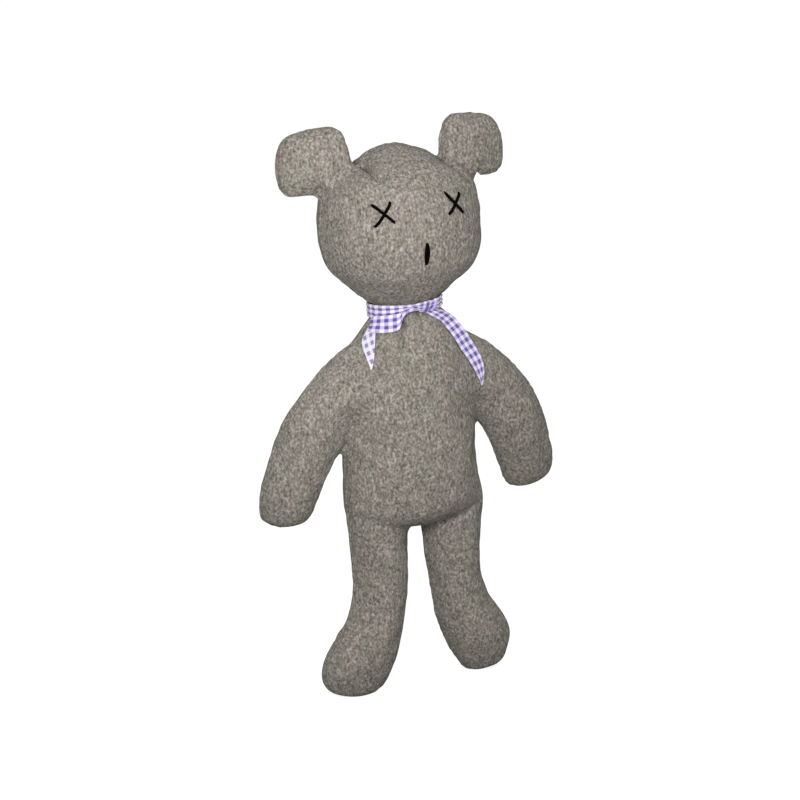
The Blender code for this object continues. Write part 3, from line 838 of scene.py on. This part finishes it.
def mix(tree, factor, a, b, blend="MIX"):
    """A Mix node for two colours, each a tuple or a socket to link."""
    node = tree.nodes.new("ShaderNodeMix")
    node.data_type, node.blend_type = "RGBA", blend
    for socket, value in zip((node.inputs[0], node.inputs[6], node.inputs[7]), (factor, a, b)):
        if isinstance(value, bpy.types.NodeSocket):
            tree.links.new(value, socket)
        elif isinstance(value, tuple):
            socket.default_value = (*value, 1.0)
        else:
            socket.default_value = value
    return node.outputs[2]


def new_material(name, roughness, sheen):
    """A material with its node tree and its shader, and the finish that is the same all over it."""
    material = bpy.data.materials.new(name)
    material.use_nodes = True
    shader = material.node_tree.nodes["Principled BSDF"]
    shader.inputs["Roughness"].default_value = roughness
    shader.inputs["Sheen Weight"].default_value = sheen
    shader.inputs["Sheen Roughness"].default_value = 0.6
    shader.inputs["Specular IOR Level"].default_value = 0.2
    return material, material.node_tree, shader


# %% The wool flecks, as one group
def wool_flecks():
    """Colour and height of spun wool from a place on the cloth."""
    group, given, result = shader_group(
        "wool flecks",
        [("Place", "Vector", None), ("Fleck Scale", "Float", 860.0), ("Brightness", "Float", 1.0)],
        [("Color", "Color"), ("Height", "Float")],
    )
    place, scale = given.outputs["Place"], given.outputs["Fleck Scale"]
    upright = stretched(group, place, (1.0, 1.0, 0.75))
    fine = noise(group, upright, scale, 2.0, 0.55)
    coarse_scale = maths(group, "MULTIPLY", scale, 0.55)
    coarse = noise(group, stretched(group, place, (1.2, 1.2, 0.6)), coarse_scale, 1.0)
    mixed = maths(group, "ADD", maths(group, "MULTIPLY", fine, 0.68), maths(group, "MULTIPLY", coarse, 0.32))
    flecks = ramp(group, mixed, [
        (0.30, (0.072, 0.064, 0.054)), (0.42, (0.150, 0.136, 0.115)), (0.50, (0.212, 0.193, 0.166)),
        (0.58, (0.288, 0.264, 0.229)), (0.70, (0.425, 0.394, 0.348)),
    ])
    cast = noise(group, place, 62.0, 2.0)
    warm = ramp(group, cast, [
        (0.36, (0.980, 1.008, 0.982)), (0.50, (1.0, 1.0, 1.0)), (0.64, (1.025, 0.992, 1.01)),
    ])
    tinted = mix(group, 1.0, flecks, warm, "MULTIPLY")
    broad = maths(group, "ADD", maths(group, "MULTIPLY", noise(group, place, 24.0, 2.0), 0.20),
                  maths(group, "MULTIPLY_ADD", noise(group, place, 150.0, 2.0), 0.22, 0.79))
    bright = maths(group, "MULTIPLY", broad, given.outputs["Brightness"])
    shade = group.nodes.new("ShaderNodeCombineColor")
    for socket in shade.inputs:
        group.links.new(bright, socket)
    group.links.new(mix(group, 1.0, tinted, shade.outputs[0], "MULTIPLY"), result.inputs["Color"])
    group.links.new(mixed, result.inputs["Height"])
    return group


flecks_group = wool_flecks()


def tweed(name, brightness):
    """Wool flecks over a faint twill, with a fuzz fine enough to break up the light."""
    material, tree, shader = new_material(name, 0.95, 0.05)
    rest = tree.nodes.new("ShaderNodeAttribute")
    rest.attribute_name = "rest_place"
    wool = tree.nodes.new("ShaderNodeGroup")
    wool.node_tree = flecks_group
    wool.inputs["Brightness"].default_value = brightness
    tree.links.new(rest.outputs["Vector"], wool.inputs["Place"])
    tree.links.new(wool.outputs["Color"], shader.inputs["Base Color"])
    twill = tree.nodes.new("ShaderNodeTexWave")
    twill.bands_direction, twill.inputs["Scale"].default_value = "DIAGONAL", 210.0
    twill.inputs["Distortion"].default_value, twill.inputs["Detail"].default_value = 2.5, 1.0
    tree.links.new(rest.outputs["Vector"], twill.inputs["Vector"])
    fuzz = noise(tree, rest.outputs["Vector"], 2600.0, 2.0)
    small = maths(tree, "ADD", maths(tree, "MULTIPLY", twill.outputs["Fac"], 0.16),
                  maths(tree, "MULTIPLY", fuzz, 0.5))
    relief = maths(tree, "ADD", wool.outputs["Height"], small)
    bump = tree.nodes.new("ShaderNodeBump")
    bump.inputs["Strength"].default_value, bump.inputs["Distance"].default_value = 0.55, 0.0009
    tree.links.new(relief, bump.inputs["Height"])
    tree.links.new(bump.outputs["Normal"], shader.inputs["Normal"])
    return material


tweed_cloth = tweed("grey tweed", 1.0)
for piece in cloth.values():
    piece.data.materials.clear()
    piece.data.materials.append(tweed_cloth)

# %% [markdown]
# ## Gingham and thread
#
# Gingham is woven from violet and white threads in equal bands both ways. Where two violet bands cross the
# cloth is violet, where one crosses white it is a lilac half tone, and where two white ones cross it is
# white. The paler reverse side keeps its violet and loses most of its lilac. The black thread is matt.

# %% The gingham group
THREADS_PER_CM = 34


def gingham_weave():
    """Colour and height of gingham from the ribbon's own map, in centimetres of length and width."""
    group, given, result = shader_group(
        "gingham weave",
        [("Place", "Vector", None), ("Checks Along", "Float", 2.04), ("Checks Across", "Float", 2.5),
         ("Paleness", "Float", 0.0)],
        [("Color", "Color"), ("Height", "Float")],
    )
    split = group.nodes.new("ShaderNodeSeparateXYZ")
    group.links.new(given.outputs["Place"], split.inputs[0])
    bands = []
    for output, checks, shift in (("X", "Checks Along", 0.0), ("Y", "Checks Across", 0.5)):
        turns = maths(group, "MULTIPLY", split.outputs[output], given.outputs[checks])
        phase = maths(group, "MULTIPLY", maths(group, "ADD", turns, shift), 2 * math.pi)
        wave = maths(group, "SINE", phase)
        edge = maths(group, "MULTIPLY_ADD", wave, 2.6, 0.5)
        clamp = group.nodes.new("ShaderNodeClamp")
        group.links.new(edge, clamp.inputs[0])
        bands.append(clamp.outputs[0])
    both = maths(group, "MULTIPLY", bands[0], bands[1])
    either = maths(group, "MAXIMUM", bands[0], bands[1])
    white, lilac, violet = (0.84, 0.81, 0.90), (0.50, 0.43, 0.73), (0.110, 0.080, 0.330)
    pale = given.outputs["Paleness"]
    lilac_left = maths(group, "SUBTRACT", 1.0, maths(group, "MULTIPLY", pale, 0.75))
    violet_left = maths(group, "SUBTRACT", 1.0, maths(group, "MULTIPLY", pale, 0.25))
    ground = mix(group, maths(group, "MULTIPLY", either, lilac_left), white, lilac)
    checks = mix(group, maths(group, "MULTIPLY", both, violet_left), ground, violet)
    threads = []
    for output in ("X", "Y"):
        phase = maths(group, "MULTIPLY", split.outputs[output], 2 * math.pi * THREADS_PER_CM)
        wave = maths(group, "SINE", phase)
        threads.append(maths(group, "MULTIPLY_ADD", wave, 0.5, 0.5))
    weave = maths(group, "ADD", threads[0], threads[1])
    shade = maths(group, "MULTIPLY_ADD", weave, 0.05, 0.93)
    tone = group.nodes.new("ShaderNodeCombineColor")
    for socket in tone.inputs:
        group.links.new(shade, socket)
    group.links.new(mix(group, 1.0, checks, tone.outputs[0], "MULTIPLY"), result.inputs["Color"])
    group.links.new(weave, result.inputs["Height"])
    return group


weave_group = gingham_weave()


def gingham(name, paleness):
    """The gingham weave as a material that reads the ribbon's own map."""
    material, tree, shader = new_material(name, 0.7, 0.15)
    place = tree.nodes.new("ShaderNodeUVMap")
    place.uv_map = "ribbon"
    weave = tree.nodes.new("ShaderNodeGroup")
    weave.node_tree = weave_group
    weave.inputs["Paleness"].default_value = paleness
    tree.links.new(place.outputs[0], weave.inputs["Place"])
    tree.links.new(weave.outputs["Color"], shader.inputs["Base Color"])
    bump = tree.nodes.new("ShaderNodeBump")
    bump.inputs["Strength"].default_value, bump.inputs["Distance"].default_value = 0.4, 0.0002
    tree.links.new(weave.outputs["Height"], bump.inputs["Height"])
    tree.links.new(bump.outputs["Normal"], shader.inputs["Normal"])
    return material


right_side, wrong_side = gingham("gingham", 0.0), gingham("gingham reverse", 1.0)
for piece in (collar, fold, knot, long_tail):
    piece.data.materials.append(right_side)
short_tail.data.materials.append(wrong_side)

# %% Black thread
def black_thread():
    """Nearly black cotton, with fine plies in its relief."""
    material, tree, shader = new_material("black thread", 0.7, 0.0)
    where = tree.nodes.new("ShaderNodeTexCoord").outputs["Object"]
    shader.inputs["Specular IOR Level"].default_value = 0.02
    plies = noise(tree, stretched(tree, where, (1.0, 1.0, 0.5)), 3200.0, 2.0)
    shade = ramp(tree, plies, [(0.3, (0.0006, 0.0005, 0.0005)), (0.7, (0.0032, 0.0026, 0.0025))])
    tree.links.new(shade, shader.inputs["Base Color"])
    bump = tree.nodes.new("ShaderNodeBump")
    bump.inputs["Strength"].default_value, bump.inputs["Distance"].default_value = 0.5, 0.0003
    tree.links.new(plies, bump.inputs["Height"])
    tree.links.new(bump.outputs["Normal"], shader.inputs["Normal"])
    return material


thread_finish = black_thread()
for piece in thread_pieces:
    piece.data.materials.append(thread_finish)

# %% [markdown]
# ## Hide the parts each piece replaces
#
# Each piece hides the parts of the imported model that it stands for. The cloth and the two tails keep their
# places in the world. The thread rides on the head, and the collar, fold and knot ride on the torso.

# %% Hide the replaced parts, bake the cloth, attach the thread
for name, piece in cloth.items():
    limb = name.split("_")[0]
    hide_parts(*(f"{name}_{part}" for part in ("front_panel", "back_panel", "stuffing")))
    if name in planes:
        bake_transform(piece)
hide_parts("neck_stuffing")
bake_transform(cloth["torso"])
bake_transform(cloth["head"])
for piece in thread_pieces:
    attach(piece, "head")

# %% The ribbon's pieces
for piece, node in ((collar, "ribbon_collar"), (fold, "ribbon_fold"), (knot, "ribbon_knot")):
    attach(piece, "torso")
    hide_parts(node)
for piece, side in ((long_tail, "left"), (short_tail, "right")):
    body = f"ribbon_tail_{side}"
    joint = joints[body + "_lift"]
    place, axis = Vector(joint["pos_m"]), Vector(joint["axis"])
    down = axis.cross(Vector((0, 1, 0))).normalized()
    down = -down if down.z > 0 else down
    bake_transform(piece)
    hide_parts(body)

# %% [markdown]
# ## Studio
#
# A soft lamp close to the bear, high on its right, lights the head more than the feet, as a small softbox
# on a table does. A smaller one fills in from its left, and a wide, weak sun stands for a bright ceiling.
# The floor is white paper. To the camera it glows, which keeps it white up to the edge of the view, but it
# throws only a part of that light back on the tweed.

# %% Floor and light
FLOOR_HALF = 12.0
corners = np.array([(-1, -1, 0), (1, -1, 0), (1, 1, 0), (-1, 1, 0)]) * FLOOR_HALF
floor = new_piece("floor", corners, [(0, 1, 2, 3)])


def camera_level(tree, socket, others, camera):
    """Give a socket one value for the camera's own rays and another for light that bounces."""
    seen = tree.nodes.new("ShaderNodeLightPath")
    level = tree.nodes.new("ShaderNodeMapRange")
    level.inputs["To Min"].default_value, level.inputs["To Max"].default_value = others, camera
    tree.links.new(seen.outputs["Is Camera Ray"], level.inputs["Value"])
    tree.links.new(level.outputs[0], socket)


paper, tree, shader = new_material("white paper", 0.9, 0.0)
shader.inputs["Base Color"].default_value = (0.34, 0.34, 0.34, 1.0)
shader.inputs["Emission Color"].default_value = (1.0, 1.0, 1.0, 1.0)
camera_level(tree, shader.inputs["Emission Strength"], 0.0, 0.88)
floor.data.materials.append(paper)

world = bpy.data.worlds.new("studio")
bpy.context.scene.world = world
world.use_nodes = True
background = world.node_tree.nodes["Background"]
background.inputs["Color"].default_value = (1, 1, 1, 1)
camera_level(world.node_tree, background.inputs["Strength"], 0.34, 1.0)


def lamp(name, kind, strength, place, aim, size):
    """A soft lamp that shines from its place towards an aim: a sun's size is an angle in degrees."""
    light = bpy.data.lights.new(name, kind)
    light.energy = strength
    if kind == "SUN":
        light.angle = math.radians(size)
    else:
        light.shape, light.size = "DISK", size
    made = bpy.data.objects.new(name, light)
    made.location = place
    made.rotation_mode = "QUATERNION"
    made.rotation_quaternion = (Vector(place) - Vector(aim)).to_track_quat("Z", "Y")
    bpy.context.scene.collection.objects.link(made)


lamp("softbox", "AREA", 2.60, (-0.24, -0.43, 0.37), (0.0, 0.0, 0.26), 0.20)
lamp("fill", "AREA", 0.75, (0.30, -0.36, 0.56), (0.0, 0.0, 0.27), 0.12)
lamp("ceiling", "SUN", 0.30, (-0.1, 0.2, 1.2), (0.0, 0.0, 0.2), 90)

# %% Finish
bpy.data.objects.remove(skin)
